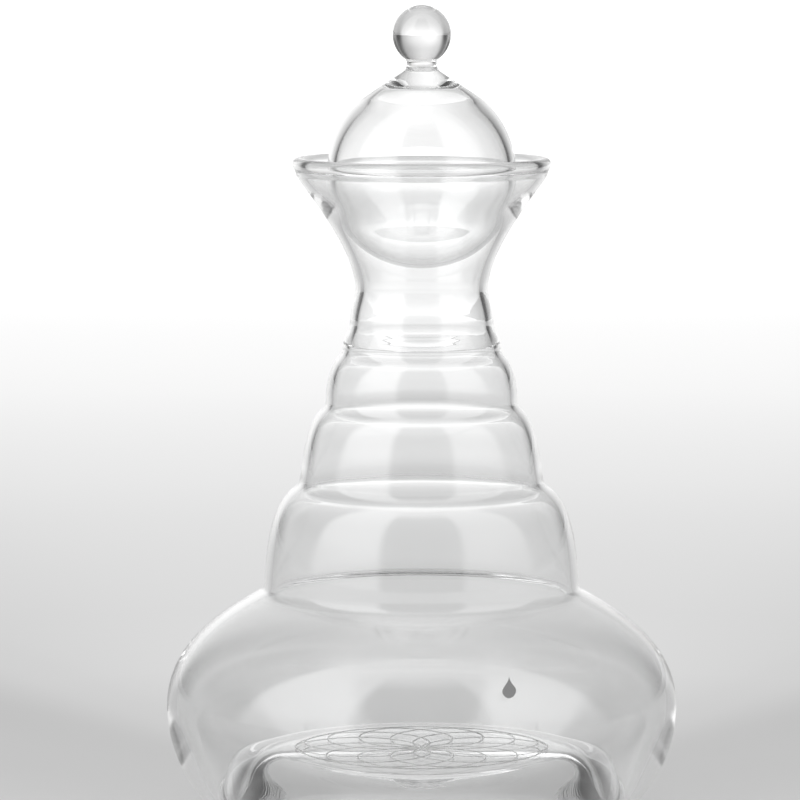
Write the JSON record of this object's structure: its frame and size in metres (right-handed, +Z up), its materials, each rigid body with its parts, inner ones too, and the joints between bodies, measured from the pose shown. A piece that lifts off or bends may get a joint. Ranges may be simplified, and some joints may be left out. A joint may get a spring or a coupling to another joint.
{
  "type": "glass carafe with lid",
  "caption": "Hand-blown clear glass carafe with stepped tiers, a flared mouth, a pushed-up base and a hollow ball lid that rests in the mouth.",
  "frame": {"origin": "centre of the foot ring, on the surface the carafe stands on", "axes": "+Z up along the carafe's axis of revolution; the carafe is round, and the small fired drop on the bulge faces -Y, a little to +X"},
  "size_m": [0.1708, 0.1708, 0.2702],
  "materials": {
    "body_glass": "clear blown glass, fire polished",
    "lid_glass": "clear blown glass, fire polished",
    "fired_print": "satin fired enamel line",
    "fired_mark": "satin fired enamel"
  },
  "bodies": {
    "carafe": {"carafe_body": "body_glass", "base_print": "fired_print", "drop_mark": "fired_mark"},
    "lid": {"lid_ball": "lid_glass", "lid_neck": "lid_glass", "lid_knob": "lid_glass"}
  },
  "joints": [
    {"name": "lid_lift", "type": "slide", "parent": "carafe", "child": "lid", "axis": [0, 0, 1], "range_m": [0, 0.08]}
  ]
}
